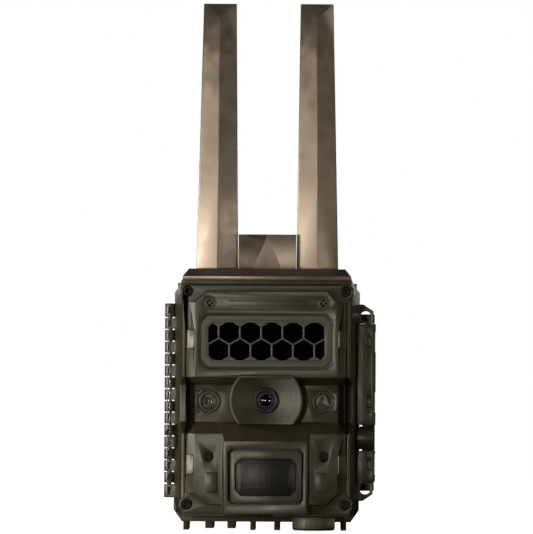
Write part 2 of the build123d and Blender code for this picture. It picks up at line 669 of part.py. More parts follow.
# Panel lines and raised pads on the cover
for side in (-1, 1):
    for dz in (5.5, -5.3):
        cover -= block(side * (cup_x + cup_groove_radius - 1.0), side * cover_half, -middle_front + 0.7,
                       -middle_front - 6, cup_z + dz - 0.3, cup_z + dz + 0.3)
    pads = [(land_top_z - 19.6, 9.8), (land_bottom_z + 15.2, 10.4)]
    for z, height in pads:
        facet_front = upper_front if z > lens_z else lower_front
        pad = chamfer(Box(5.6, 1.2, height).edges().filter_by(Axis.Y), 0.6)
        middle = Pos(side * (flat_half + facet_width / 2), -facet_front + facet_back / 2, z)
        cover += middle * Rot(0, 0, side * 45.6) * pad
    tab_in = block_half + block_draft + 1.0
    cover += block(side * tab_in, side * (tab_in + 5.8), -lower_front + 1, -lower_front - 0.7,
                   land_bottom_z + 0.4, land_bottom_z + 11)
screws = []
for x, z, front in corner_screws + panel_screws:
    head = front + 0.6
    if z == panel_screw_z:
        head = front + 0.8
        cover += rod_y(x, -front, -head - 0.4, z, screw_head_radius + 1.2)
    cover -= rod_y(x, -head, -far, z, screw_head_radius + 0.25)
    cover -= rod_y(x, 0, -far, z, screw_shank_radius + loose)
    screw = rod_y(x, -head, -head - screw_head_height, z, screw_head_radius)
    screw += rod_y(x, -head, -head + screw_length, z, screw_shank_radius)
    top = Plane.XZ.offset(head + screw_head_height) * Pos(x, z)
    socket = extrude(top * RegularPolygon(1.5, 6), 1.3, dir=(0, 1, 0))
    screws.append(screw - socket)
nodes["cover_screws"] = group(screws)
nodes["front_cover"] = cover

# Batteries in their tray, with contacts and springs
cell_y = rear_depth - wall - 0.2 - tray_back_wall - cell_radius - seat
tray_half = rear_mouth - 0.2
tray_low, tray_high = rear_low + loose, rear_high - loose
tray_front = cell_y - cell_radius - 0.8
pocket_length = 2 * contact_thick + spring_height + cell_length + 0.4
bar = (tray_high - tray_low - 2 * pocket_length) / 3
cell_columns = int((2 * tray_half - 1.2) / cell_pitch)
tray = block(-tray_half, tray_half, tray_front, rear_depth - wall - 0.2, tray_low, tray_high)
cell_solids, contact_solids, spring_solids = [], [], []
for row in range(2):
    low = tray_low + bar + row * (pocket_length + bar)
    high = low + pocket_length
    for column in range(cell_columns):
        x = (column - (cell_columns - 1) / 2) * cell_pitch
        tray -= rod_z(x, cell_y, low, high, cell_radius + seat)
        tray -= block(x - cell_radius * 0.96, x + cell_radius * 0.96, tray_front - 1, cell_y, low, high)
        flipped = (row + column) % 2 == 1
        towards = -1 if flipped else 1
        spring_base = high - contact_thick if flipped else low + contact_thick
        base = spring_base + towards * spring_height
        nub = 1.0
        body_end = base + towards * (cell_length - nub)
        cell = rod_z(x, cell_y, base, body_end, cell_radius)
        cell += rod_z(x, cell_y, body_end, base + towards * cell_length, 2.7)
        cell_solids.append(cell)
        coil = Cone(4.2, 2.6, spring_height) - Cone(3.6, 2.0, spring_height)
        turn = 180 if flipped else 0
        spring_solids.append(Pos(x, cell_y, (spring_base + base) / 2) * Rot(turn, 0, 0) * coil)
    for column in range(0, cell_columns, 2):
        x = (column - (cell_columns - 1) / 2) * cell_pitch
        for z0 in (low, high - contact_thick):
            for k in range(min(2, cell_columns - column)):
                contact_solids.append(block(x + k * cell_pitch - 5, x + k * cell_pitch + 5, cell_y - 4.6,
                                            cell_y + 4.6, z0, z0 + contact_thick))
nodes["battery_tray"] = tray
nodes["battery_cells"] = group(cell_solids)
nodes["battery_contacts"] = group(contact_solids)
nodes["battery_springs"] = group(spring_solids)

# Inside of the front half: closing panel with its trough for the lock tube
panel_back = 1.4
panel_half = tongue_half - flank_slope * (panel_back + panel_thick) - loose
panel_low, panel_high = front_bottom + wall + loose, top_z - wall - loose
trough_half = tongue_half - flank_slope * trough_front - loose
panel = block(-panel_half, panel_half, -panel_back, -panel_back - panel_thick, panel_low, panel_high)
panel += block(-trough_half, trough_half, -panel_back, -trough_front, tube_z - trough_half_height,
               tube_z + trough_half_height)
panel -= block(-far, far, 0, -trough_front + 1.6, tube_z - notch_half, tube_z + notch_half)
display_width, display_height = 58.0, 40.0
window_recess = 1.2
display_z = top_z - 29.5
for grow, depth in ((0, panel_back + window_recess), (-6, 10)):
    panel -= block(-(display_width + grow) / 2, (display_width + grow) / 2, 0, -depth,
                   display_z - (display_height + grow) / 2, display_z + (display_height + grow) / 2)
glass_half, glass_rise = display_width / 2 - seat, display_height / 2 - seat
nodes["display_window"] = block(-glass_half, glass_half, -panel_back - window_recess, -panel_back,
                                display_z - glass_rise, display_z + glass_rise)
nodes["display"] = block(-27, 27, -panel_back - panel_thick - 2.8, -panel_back - panel_thick - seat,
                         display_z - 18.5, display_z + 18.5)
button_z = display_z - display_height / 2 - 8.5
button_pitch = 18.0
button_names = ["menu_button", "down_button", "up_button", "ok_button"]
panel_front = panel_back + panel_thick + seat
flange_front = panel_front + 1.0
for k, name in enumerate(button_names):
    x = (k - 1.5) * button_pitch
    panel -= rod_y(x, 1, -10, button_z, button_radius + 0.15)
    cap = rod_y(x, -panel_back + 0.6, -panel_front, button_z, button_radius)
    nodes[name] = cap + rod_y(x, -panel_front, -flange_front, button_z, button_radius + 0.8)
switch_back = -flange_front - button_travel - seat
nodes["button_switches"] = group([rod_y((k - 1.5) * button_pitch, switch_back, -board_front + board_thick,
                                        button_z, 2.0) for k in range(len(button_names))])
switch_z = tube_z + trough_half_height + 5.2
switch_travel = 8.0
switch_x = -switch_travel / 2
panel -= block(-switch_travel / 2 - 2.9, switch_travel / 2 + 2.9, 0, -10, switch_z - 2.3, switch_z + 2.3)
slider_front = panel_front + seat
slider = block(switch_x - 2.6, switch_x + 2.6, -panel_back + 0.8, -slider_front, switch_z - 2.0, switch_z + 2.0)
slider += block(switch_x - 4.6, switch_x + 4.6, -slider_front, -slider_front - 1.2, switch_z - 3.2, switch_z + 3.2)
nodes["power_switch"] = slider

# Cards in their slots, reached through the bay in the panel
bay_low, bay_high = panel_low + 3.0, tube_z - trough_half_height - 2.6
bay_left, bay_right = -12.0, 5.0
panel -= block(bay_left, bay_right, 0, -10, bay_low, bay_high)
nodes["inner_panel"] = panel
card_back = 10.4
card_z = (bay_low + bay_high) / 2
slot_front = board_front - board_thick - seat


def card_pair(end_x, away, length, width, thick, lip):
    """A card whose grip end is at end_x, and its slot, which lies on the side that away points to."""
    far_x = end_x + away * length
    reach = width / 2
    card = block(end_x, far_x, -card_back, -card_back - thick, card_z - reach, card_z + reach)
    slot = block(end_x + away * lip, far_x + away * 1.3, -card_back + 1.2, -slot_front, card_z - reach - 1.4,
                 card_z + reach + 1.4)
    slot -= block(end_x, far_x + away * 0.2, -card_back + seat, -card_back - thick - seat,
                  card_z - reach - 0.15, card_z + reach + 0.15)
    return card, slot


card, nodes["card_slot"] = card_pair(bay_left + 3.0, -1, 32.0, 24.0, 2.1, 3.5)
nodes["memory_card"] = chamfer(card.edges().filter_by(Axis.Y).group_by(Axis.X)[0].group_by(Axis.Z)[-1], 3.0)
nodes["sim_card"], nodes["sim_slot"] = card_pair(bay_right - 2.0, 1, 15.0, 12.0, 0.8, 2.5)

# Boards
main_low = front_bottom + 16.0
main_half = 38.0
main = block(-main_half, main_half, -board_front, -board_front + board_thick, main_low, top_z - 10)
nodes["main_board"] = main
nodes["cellular_module"] = block(-34, -4, -board_front, -board_front - 2.6, ir_z - 12, ir_z + 14)
nodes["shield_can"] = block(4, 30, -board_front, -board_front - 2.6, ir_z - 8, ir_z + 12)

# Port plug under the front half
plug_top = front_bottom - 0.25
plug_low = 0.85
knob_outline = RegularPolygon(plug_flats / 2, 8, major_radius=False)
knob = extrude(Pos(plug_x, -plug_forward, plug_low) * Rot(0, 0, 22.5) * knob_outline, plug_top - plug_low)
knob = chamfer(knob.faces().sort_by(Axis.Z)[0].edges(), 0.9)
stem_top = front_bottom + wall + 1.6
plug_groove_low = front_bottom + 0.8
plug_groove = 1.2
stem = rod_z(plug_x, -plug_forward, plug_top, stem_top, plug_stem_radius)
plug_groove_high = plug_groove_low + plug_groove
groove_ring = rod_z(plug_x, -plug_forward, plug_groove_low, plug_groove_high, plug_stem_radius + 1)
groove_ring -= rod_z(plug_x, -plug_forward, 0, 20, plug_stem_radius - 1.0)
nodes["port_plug"] = knob + stem - groove_ring
seal = rod_z(plug_x, -plug_forward, plug_groove_low + seat, plug_groove_high - seat, plug_stem_radius + 0.12)
nodes["plug_seal"] = seal - rod_z(plug_x, -plug_forward, 0, 20, plug_stem_radius - 0.95)
jack = rod_z(plug_x, -plug_forward, stem_top + 0.6, main_low - 0.6, 4.0)
jack -= rod_z(plug_x, -plug_forward, 0, main_low - 2, 2.9)
jack += rod_z(plug_x, -plug_forward, stem_top + 1.2, main_low - 0.6, 1.0)
nodes["power_jack"] = jack

# Top cap, antennas and the bridge between them
cap_band = 2.1
cap_half = half_width - corner_across - 0.2
cap_front, cap_shelf = rim_back - upper_front + 0.5, 19.6
cap = along_x(-far, far, [(-split_gap, top_z), (cap_front, top_z), (cap_front - 0.3, top_z + cap_band),
                          (-cap_shelf, cap_top), (-split_gap - 0.4, cap_top)])
cap &= forward(0, -far, [
    (-cap_half, top_z), (cap_half, top_z), (cap_half - 0.5, top_z + cap_band), (cap_half - 3.4, cap_top),
    (3.4 - cap_half, cap_top), (0.5 - cap_half, top_z + cap_band)])
cap -= block(-cap_half + 6, cap_half - 6, -4, -18, top_z - 1, cap_top - 2.4)
nodes["top_cap"] = cap
antenna_y = -11.2


def paddle(x, half, depth):
    """Six-sided section of an antenna: a ridge to the front and one to the back."""
    edge = antenna_edge / 2
    return [(x, antenna_y - depth / 2), (x + half, antenna_y - edge), (x + half, antenna_y + edge),
            (x, antenna_y + depth / 2 - 1.2), (x - half, antenna_y + edge), (x - half, antenna_y - edge)]


def beyond(y, z, up_y, up_z):
    """Half space on the far side of a plane through (y, z) facing (up_y, up_z)."""
    return Plane(origin=(0, y, z), x_dir=(1, 0, 0), z_dir=(0, up_y, up_z)) * Box(
        300, 300, 100, align=(Align.CENTER, Align.CENTER, Align.MIN))


antenna_top = cap_top + antenna_height
element_half = 3.5
elements = []
for side, name in ((-1, "antenna_left"), (1, "antenna_right")):
    foot_x, tip_x = side * antenna_out, side * (antenna_out - antenna_lean)
    foot = Polygon(*paddle(foot_x, antenna_foot / 2, antenna_depth_foot), align=None)
    tip = Polygon(*paddle(tip_x, antenna_tip / 2, antenna_depth_tip), align=None)
    antenna = loft([Plane.XY.offset(cap_top) * foot, Plane.XY.offset(antenna_top) * tip], ruled=True)
    rise = antenna_depth_tip / 2 - antenna_edge / 2 + 0.15
    antenna -= beyond(antenna_y - antenna_edge / 2, antenna_top, -antenna_slope_height, rise)
    middle_x = side * (antenna_out - antenna_lean / 2)
    antenna -= block(middle_x - element_half - 1, middle_x + element_half + 1, antenna_y - 1.2, antenna_y + 1.2,
                     cap_top - 1, antenna_top - 16)
    nodes[name] = antenna
    elements.append(block(middle_x - element_half, middle_x + element_half, antenna_y - 0.5, antenna_y + 0.5,
                          cap_top + 1, antenna_top - 18))
nodes["antenna_elements"] = group(elements)
bridge_half = antenna_out - antenna_foot / 2 - 0.15
bridge_front, valley_back = antenna_y - 3.6, antenna_y + 0.6
bridge = block(-bridge_half, bridge_half, bridge_front, antenna_y + 4, cap_top, cap_top + bridge_height)
valley_half = bridge_half + 0.01
valley = along_z(cap_top - 1, cap_top + bridge_height + 1,
                 [(-valley_half, bridge_front - 0.01), (valley_half, bridge_front - 0.01), (0, valley_back)])
facet_out = bridge_front + (valley_back - bridge_front) * 0.5
valley &= beyond(valley_back, cap_top + bridge_height, -bridge_height, valley_back - facet_out)
nodes["antenna_bridge"] = bridge - valley

# The origin is under the middle of the whole camera
left_x, right_x = hinge_x - knuckle_radius, latch_outer
front_y, back_y = -block_front - 1.4, rear_depth + rail_depth
origin = Pos(-(left_x + right_x) / 2, -(front_y + back_y) / 2, 0)
for name, shape in nodes.items():
    export_step(origin * shape, f"parts/{name}.step")
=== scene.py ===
import bpy
import json
from math import cos, pi, radians, sin
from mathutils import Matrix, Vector


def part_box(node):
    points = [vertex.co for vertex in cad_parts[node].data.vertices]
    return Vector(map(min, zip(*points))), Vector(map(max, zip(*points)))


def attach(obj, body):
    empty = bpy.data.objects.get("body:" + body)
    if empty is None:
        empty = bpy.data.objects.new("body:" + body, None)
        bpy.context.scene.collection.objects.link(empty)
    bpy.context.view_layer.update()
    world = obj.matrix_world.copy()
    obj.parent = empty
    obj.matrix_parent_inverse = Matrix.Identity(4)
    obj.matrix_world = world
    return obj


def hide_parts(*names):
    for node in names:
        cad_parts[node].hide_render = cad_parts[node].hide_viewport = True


# Trail camera. Metres, the front faces -Y and Z is up.
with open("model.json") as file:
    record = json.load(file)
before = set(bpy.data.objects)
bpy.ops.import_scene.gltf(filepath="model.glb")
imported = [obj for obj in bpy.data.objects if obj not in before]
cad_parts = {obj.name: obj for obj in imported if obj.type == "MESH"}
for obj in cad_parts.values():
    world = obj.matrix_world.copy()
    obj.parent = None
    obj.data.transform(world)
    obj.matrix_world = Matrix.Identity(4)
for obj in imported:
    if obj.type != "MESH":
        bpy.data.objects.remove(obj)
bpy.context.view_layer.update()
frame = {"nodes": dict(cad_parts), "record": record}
nodes = frame["nodes"]
bodyOf = {name: body for body, names in frame["record"]["behaviour"]["bodies"].items() for name in names}
mm = 0.001
bpy.context.scene.view_settings.view_transform = "Standard"
bpy.context.scene.world = bpy.data.worlds.new("studioAir")


def linear(code):
    # an sRGB hex value as the linear colour that a shader takes
    parts = [int(code[i:i + 2], 16) / 255 for i in (1, 3, 5)]
    return [p / 12.92 if p <= 0.04045 else ((p + 0.055) / 1.055) ** 2.4 for p in parts] + [1.0]


def addNode(tree, kind, settings=None, links=None):
    # one node, its own values, and the sockets that feed it
    made = tree.nodes.new(kind)
    for key, value in (settings or {}).items():
        if isinstance(key, int) or key in made.inputs:
            made.inputs[key].default_value = value
        else:
            setattr(made, key, value)
    for key, source in (links or {}).items():
        tree.links.new(source, made.inputs[key])
    return made


# Camera and studio
view = {"place": (0.0196, -2.0, 0.0866), "turn": (91.563, -0.333, 0.617), "lens": 251.5}
studio = {
    "aim": (0.0, 0.0, 0.12),
    "floorHalf": 6.0,
    "floorColour": "#f4f4f2",
    "floorGlow": 1.0,
    "lampColour": (1.0, 0.93, 0.82),
    "softboxes": {  # azimuth from the front towards the right, height, distance, width, tall, watts
        "leftKey": (-43, 0.09, 0.90, 0.40, 0.18, 0.95),
        "leftWide": (-66, 0.12, 0.85, 0.30, 0.24, 4.0),
        "rightHigh": (46, 0.70, 0.80, 0.18, 0.18, 0.45),
        "rightSide": (96, 0.02, 0.90, 0.40, 0.12, 0.45),
        "rightLow": (40, 0.04, 0.90, 0.30, 0.12, 0.7),
        "frontStrip": (-14, 0.10, 1.30, 0.12, 0.22, 2.3),
        "backLeft": (-171, 0.30, 1.00, 0.50, 0.30, 1.6),
        "backRight": (171, 0.30, 1.00, 0.50, 0.30, 1.6),
    },
}


def setCamera():
    bpy.ops.object.camera_add(location=view["place"], rotation=[radians(a) for a in view["turn"]])
    camera = bpy.context.object
    camera.data.lens = view["lens"]
    camera.data.sensor_width = 36
    camera.data.sensor_fit = "HORIZONTAL"
    bpy.context.scene.camera = camera


def addSoftbox(name, azimuth, height, distance, width, tall, watts):
    turn = radians(azimuth)
    place = Vector((sin(turn) * distance, -cos(turn) * distance, height))
    bpy.ops.object.light_add(type="AREA", location=place)
    softbox = bpy.context.object
    softbox.name = name
    softbox.data.shape = "RECTANGLE"
    softbox.data.size, softbox.data.size_y = width, tall
    softbox.data.energy = watts
    softbox.data.color = studio["lampColour"]
    softbox.rotation_euler = (Vector(studio["aim"]) - place).to_track_quat("-Z", "Y").to_euler()


def setStudio():
    for name, settings in studio["softboxes"].items():
        addSoftbox(name, *settings)
    bpy.ops.mesh.primitive_plane_add(size=2 * studio["floorHalf"], location=(0, 0, 0))
    floor = bpy.context.object
    floor.name = "studioFloor"
    paint = bpy.data.materials.new("matt white studio paper")
    paint.use_nodes = True
    shader = paint.node_tree.nodes["Principled BSDF"]
    shader.inputs["Base Color"].default_value = linear(studio["floorColour"])
    shader.inputs["Roughness"].default_value = 0.9
    shader.inputs["Emission Color"].default_value = (1, 1, 1, 1)
    shader.inputs["Emission Strength"].default_value = studio["floorGlow"]
    floor.data.materials.append(paint)
    floor.visible_diffuse = False  # the paper lights nothing, so undersides stay dark
    floor.visible_glossy = False
    world = bpy.context.scene.world
    world.use_nodes = True
    world.node_tree.nodes["Background"].inputs["Color"].default_value = (1, 1, 1, 1)
    world.cycles_visibility.diffuse = False  # a white room that the lights alone light
    world.cycles_visibility.glossy = False


setCamera()
setStudio()
print("studio is set")


# Materials
def surface(name, look):
    # a principled surface with mottled colour and roughness, a grain and paler edges, a painted highlight
    # along every rounded edge
    material = bpy.data.materials.new(name)
    material.use_nodes = True
    tree = material.node_tree
    shader = tree.nodes["Principled BSDF"]
    for socket, value in look.get("shader", {}).items():
        shader.inputs[socket].default_value = value
    place = addNode(tree, "ShaderNodeTexCoord").outputs["Object"]
    stretch = addNode(tree, "ShaderNodeMapping", {"Scale": look.get("stretch", (1, 1, 1))}, {"Vector": place})
    place = stretch.outputs["Vector"]
    patches = addNode(tree, "ShaderNodeTexNoise", {"Scale": 1 / (look["patch"] * mm), "Detail": 3.0},
                      {"Vector": place})
    shades = {"data_type": "RGBA", 6: linear(look["dark"]), 7: linear(look["light"])}
    tint = addNode(tree, "ShaderNodeMix", shades, {0: patches.outputs["Fac"]})
    colour = tint.outputs[2]
    grain = addNode(tree, "ShaderNodeTexNoise", {"Scale": 1 / (look["grain"] * mm), "Detail": 2.0},
                    {"Vector": place})
    # paler edges: a painted highlight, lighter where the rounded normal turns away from the true one
    if look.get("edgeHighlightStrength"):
        rounded = addNode(tree, "ShaderNodeBevel", {"samples": 4, "Radius": look["edgeHighlightWidth"] * mm})
        true = addNode(tree, "ShaderNodeNewGeometry")
        turned = addNode(tree, "ShaderNodeVectorMath", {"operation": "DOT_PRODUCT"},
                         {0: rounded.outputs["Normal"], 1: true.outputs["Normal"]})
        edgeHighlightSpread = {"From Min": 1.0, "From Max": 0.75, "To Max": look["edgeHighlightStrength"]}
        edge = addNode(tree, "ShaderNodeMapRange", edgeHighlightSpread, {"Value": turned.outputs["Value"]})
        edgeHighlightColour = addNode(tree, "ShaderNodeMix", {"data_type": "RGBA", 7: linear(look["edgeHighlightColour"])},
                       {0: edge.outputs["Result"], 6: colour})
        colour = edgeHighlightColour.outputs[2]
    tree.links.new(colour, shader.inputs["Base Color"])
    smoothest, roughest = look["rough"]
    spread = {"From Min": 0.3, "From Max": 0.7, "To Min": smoothest, "To Max": roughest}
    rough = addNode(tree, "ShaderNodeMapRange", spread, {"Value": patches.outputs["Fac"]})
    tree.links.new(rough.outputs["Result"], shader.inputs["Roughness"])
    bump = addNode(tree, "ShaderNodeBump", {"Strength": 1.0, "Distance": look["depth"] * mm},
                   {"Height": grain.outputs["Fac"]})
    if look.get("wave"):  # slow unevenness that breaks up the highlights
        swell = addNode(tree, "ShaderNodeTexNoise", {"Scale": 1 / (look["wave"] * mm), "Detail": 1.0},
                        {"Vector": place})
        bump = addNode(tree, "ShaderNodeBump", {"Strength": 1.0, "Distance": look["waveDepth"] * mm},
                       {"Height": swell.outputs["Fac"], "Normal": bump.outputs["Normal"]})
    tree.links.new(bump.outputs["Normal"], shader.inputs["Normal"])
    return material


# glass-filled nylon moulded in a spark-eroded tool: a dull, dry, slightly speckled olive drab
oliveNylon = surface("moulded olive drab nylon", {
    "shader": {"IOR": 1.53, "Specular IOR Level": 0.9}, "dark": "#38321f", "light": "#403a27",
    "edgeHighlightColour": "#645c44", "edgeHighlightStrength": 0.5, "edgeHighlightWidth": 0.35, "rough": (0.34, 0.46), "patch": 9.0,
    "grain": 0.6, "depth": 0.05,  # twice the real grain, so that it shows
    "wave": 14.0, "waveDepth": 0.12})

# painted ABS over the antennas: satin brown-grey, a little uneven, so its highlights break into patches
brownAbs = surface("satin brown painted ABS", {
    "shader": {"IOR": 1.5, "Metallic": 0.75}, "dark": "#8d8072", "light": "#a09285", "edgeHighlightColour": "#b8aa9b",
    "edgeHighlightStrength": 0.35, "edgeHighlightWidth": 0.35, "rough": (0.30, 0.42), "patch": 7.0, "grain": 0.7, "depth": 0.03,
    "wave": 9.0, "waveDepth": 0.10})

# black ABS straight from the tool: satin black
blackAbs = surface("moulded black ABS", {
    "shader": {"IOR": 1.5}, "dark": "#0e0e0d", "light": "#151514", "edgeHighlightColour": "#2a2a28", "edgeHighlightStrength": 0.4,
    "edgeHighlightWidth": 0.25, "rough": (0.38, 0.48), "patch": 6.0, "grain": 0.5, "depth": 0.02})

# acrylic that passes infrared alone: looks polished and fully black
infraredAcrylic = surface("polished black acrylic", {
    "shader": {"IOR": 1.49, "Coat Weight": 0.3, "Coat Roughness": 0.03},
    "dark": "#020202", "light": "#040303", "rough": (0.06, 0.1), "patch": 30.0, "grain": 8.0, "depth": 0.004})

# neoprene rubber: black, dry, with a soft sheen
blackRubber = surface("black neoprene rubber", {
    "shader": {"IOR": 1.52}, "dark": "#111111", "light": "#1a1a19", "rough": (0.6, 0.75), "patch": 5.0,
    "grain": 0.5, "depth": 0.03})

# turned stainless steel pin, its marks running round it
turnedSteel = surface("turned stainless steel", {
    "shader": {"Metallic": 1.0}, "dark": "#8d8c8a", "light": "#a9a8a5", "rough": (0.22, 0.36), "patch": 6.0,
    "stretch": (1, 1, 6), "grain": 0.9, "depth": 0.008})

# bright drawn spring wire
springWire = surface("nickel plated spring wire", {
    "shader": {"Metallic": 1.0}, "dark": "#b5b1a8", "light": "#c9c5bc", "rough": (0.16, 0.26), "patch": 3.0,
    "grain": 0.6, "depth": 0.005})

# machine screws blacked by oxide: near black, with a faint metal gleam
oxideSteel = surface("black oxide steel", {
    "shader": {"Metallic": 0.6}, "dark": "#12110f", "light": "#1c1b18", "rough": (0.34, 0.46), "patch": 2.0,
    "grain": 0.4, "depth": 0.015})

# machined brass, warm and slightly dulled
machinedBrass = surface("machined brass", {
    "shader": {"Metallic": 1.0}, "dark": "#a98445", "light": "#c39b55", "rough": (0.24, 0.34), "patch": 4.0,
    "grain": 0.6, "depth": 0.01})

# drawn aluminium or tinned sheet over the shielded radio: cool, evenly brushed
tinnedSheet = surface("tinned steel sheet", {
    "shader": {"Metallic": 1.0}, "dark": "#a3a5a4", "light": "#bcbebc", "rough": (0.26, 0.38), "patch": 5.0,
    "stretch": (1, 1, 5), "grain": 0.5, "depth": 0.008})

# printed shrink sleeve of a dry cell: smooth and dark, with a satin gloss
cellSleeve = surface("dark printed shrink sleeve", {
    "shader": {"IOR": 1.5, "Coat Weight": 0.5, "Coat Roughness": 0.12}, "dark": "#1d1e20", "light": "#242628",
    "rough": (0.22, 0.3), "patch": 12.0, "grain": 2.0, "depth": 0.01})

# copper-coloured band at the plus end of a cell's sleeve
copperSleeve = surface("copper toned shrink sleeve", {
    "shader": {"Metallic": 0.8}, "dark": "#8a5a36", "light": "#9c6a42", "rough": (0.24, 0.32), "patch": 12.0,
    "grain": 2.0, "depth": 0.01})

# moulded grey button plastic: mid grey and dull
greyButton = surface("moulded grey silicone", {
    "shader": {"IOR": 1.43}, "dark": "#55575a", "light": "#5f6164", "rough": (0.5, 0.6), "patch": 4.0,
    "grain": 0.5, "depth": 0.02})

# unlit liquid crystal panel: dark blue-grey under a polariser
displayPanel = surface("unlit display panel", {
    "shader": {"IOR": 1.5, "Coat Weight": 0.2}, "dark": "#15191c", "light": "#191e22", "rough": (0.2, 0.26),
    "patch": 40.0, "grain": 1.0, "depth": 0.002})

# epoxy over a chip: dull black
chipEpoxy = surface("moulded chip epoxy", {
    "shader": {"IOR": 1.55}, "dark": "#101010", "light": "#171717", "rough": (0.55, 0.65), "patch": 3.0,
    "grain": 0.3, "depth": 0.01})

# printed plastic of the memory and SIM cards: dark blue and dull
cardStock = surface("printed card plastic", {
    "shader": {"IOR": 1.5}, "dark": "#26374a", "light": "#2b3e54", "rough": (0.35, 0.45), "patch": 12.0,
    "grain": 0.5, "depth": 0.01})

# polycarbonate over the display: colourless, clear and glossy
clearPolycarbonate = surface("clear polycarbonate", {
    "shader": {"IOR": 1.58, "Transmission Weight": 1.0}, "dark": "#e6ebea", "light": "#f1f4f3",
    "rough": (0.02, 0.05), "patch": 30.0, "grain": 6.0, "depth": 0.002})

# coated optical glass: dark, with a faint violet gloss
coatedGlass = surface("coated optical glass", {
    "shader": {"IOR": 1.52, "Transmission Weight": 0.85, "Coat Weight": 1.0, "Coat IOR": 1.8,
               "Coat Roughness": 0.02, "Coat Tint": linear("#b9a6e8")},
    "dark": "#30303c", "light": "#383846", "rough": (0.01, 0.03), "patch": 6.0, "grain": 5.0, "depth": 0.001})


def solderMask(name, board):
    # green lacquer over copper: square-cornered tracks and round pads, spaced in millimetres
    material = surface(name, board)
    tree = material.node_tree
    shader = tree.nodes["Principled BSDF"]
    base = shader.inputs["Base Color"].links[0].from_socket
    place = addNode(tree, "ShaderNodeTexCoord").outputs["Object"]
    grid = {"distance": "CHEBYCHEV", "feature": "DISTANCE_TO_EDGE", "Scale": 1 / (board["trackPitch"] * mm)}
    tracks = addNode(tree, "ShaderNodeTexVoronoi", grid, {"Vector": place})
    line = addNode(tree, "ShaderNodeMath", {"operation": "LESS_THAN", 1: board["trackShare"]},
                   {0: tracks.outputs["Distance"]})
    laid = addNode(tree, "ShaderNodeMix", {"data_type": "RGBA", 7: linear(board["track"])},
                   {0: line.outputs["Value"], 6: base})
    dots = addNode(tree, "ShaderNodeTexVoronoi", {"Scale": 1 / (board["padPitch"] * mm)}, {"Vector": place})
    pad = addNode(tree, "ShaderNodeMath", {"operation": "LESS_THAN", 1: board["padShare"]},
                  {0: dots.outputs["Distance"]})
    padded = addNode(tree, "ShaderNodeMix", {"data_type": "RGBA", 7: linear(board["pad"])},
                     {0: pad.outputs["Value"], 6: laid.outputs[2]})
    tree.links.new(padded.outputs[2], shader.inputs["Base Color"])
    tree.links.new(pad.outputs["Value"], shader.inputs["Metallic"])
    return material


# glass-epoxy board under green solder mask: dark glossy green, tracks showing lighter, gold pads
greenBoard = solderMask("green solder mask board", {
    "shader": {"IOR": 1.55}, "dark": "#0d3a20", "light": "#114527", "rough": (0.25, 0.35), "patch": 10.0,
    "grain": 0.8, "depth": 0.01, "trackPitch": 3.4, "trackShare": 0.06, "track": "#1d6a3c", "padPitch": 2.6,
    "padShare": 0.16, "pad": "#c8a24a"})


def ribbedSheet(name, look):
    # the moulded facets of the motion lens: fine upright and level grooves, spaced in millimetres
    material = surface(name, look)
    tree = material.node_tree
    shader = tree.nodes["Principled BSDF"]
    place = addNode(tree, "ShaderNodeTexCoord").outputs["Object"]
    normal = shader.inputs["Normal"].links[0].from_socket
    for direction, pitch in (("X", look["ribPitch"]), ("Z", look["rowPitch"])):
        bands = {"bands_direction": direction, "Scale": pi / 10 / (pitch * mm), "Distortion": 0.0}
        ribs = addNode(tree, "ShaderNodeTexWave", bands, {"Vector": place})
        groove = addNode(tree, "ShaderNodeMapRange", {"From Max": 0.12}, {"Value": ribs.outputs["Fac"]})
        bump = addNode(tree, "ShaderNodeBump", {"Strength": 1.0, "Distance": look["ribDepth"] * mm},
                       {"Height": groove.outputs["Result"], "Normal": normal})
        normal = bump.outputs["Normal"]
    tree.links.new(normal, shader.inputs["Normal"])
    return material


# thin polyethylene motion lens: waxy, dark brown, with faint lens facets
facetedLens = ribbedSheet("dark polyethylene fresnel sheet", {
    "shader": {"IOR": 1.51}, "dark": "#0f0c0a", "light": "#15120e", "rough": (0.36, 0.44), "patch": 12.0,
    "grain": 1.0, "depth": 0.02, "ribPitch": 4.0, "rowPitch": 6.2, "ribDepth": 0.02})

finishes = {
    "olive_shell": (oliveNylon, ["front_housing", "front_cover", "rear_housing", "latch", "lens_hood",
                                 "pir_frame", "port_plug", "name_bar", "ir_grille", "lock_tube",
                                 "sound_grilles"]),
    "brown_cap": (brownAbs, ["top_cap", "antenna_left", "antenna_right", "antenna_bridge"]),
    "black_plastic": (blackAbs, ["inner_panel", "battery_tray", "lens_ring", "lens_barrel",
                                 "filter_track", "power_jack", "button_switches"]),
    "dark_window": (infraredAcrylic, ["ir_window"]),
    "motion_lens": (facetedLens, ["pir_lens"]),
    "clear_plastic": (clearPolycarbonate, ["display_window", "status_light", "light_sensor_lens",
                                           "ir_emitters"]),
    "optical_glass": (coatedGlass, ["front_lens", "lens_elements", "ircut_filter"]),
    "rubber_seal": (blackRubber, ["housing_gasket", "plug_seal"]),
    "steel_pin": (turnedSteel, ["hinge_pin", "latch_pin"]),
    "black_screw": (oxideSteel, ["cover_screws"]),
    "brass_insert": (machinedBrass, ["tripod_insert"]),
    "spring_steel": (springWire, ["battery_springs", "battery_contacts"]),
    "cell_jacket": (cellSleeve, ["battery_cells"]),
    "circuit_board": (greenBoard, ["main_board", "ir_board", "antenna_elements"]),
    "shield_metal": (tinnedSheet, ["shield_can", "cellular_module", "card_slot", "sim_slot", "pir_sensor",
                                   "microphone", "speaker"]),
    "chip_black": (chipEpoxy, ["image_sensor", "memory_card"]),
    "grey_control": (greyButton, ["menu_button", "down_button", "up_button", "ok_button", "power_switch"]),
}
special = {"display": displayPanel, "sim_card": cardStock, "memory_card": cardStock}
finishOf = {}
for slotName, (material, names) in finishes.items():
    for name in names:
        finishOf[name] = (material, slotName)


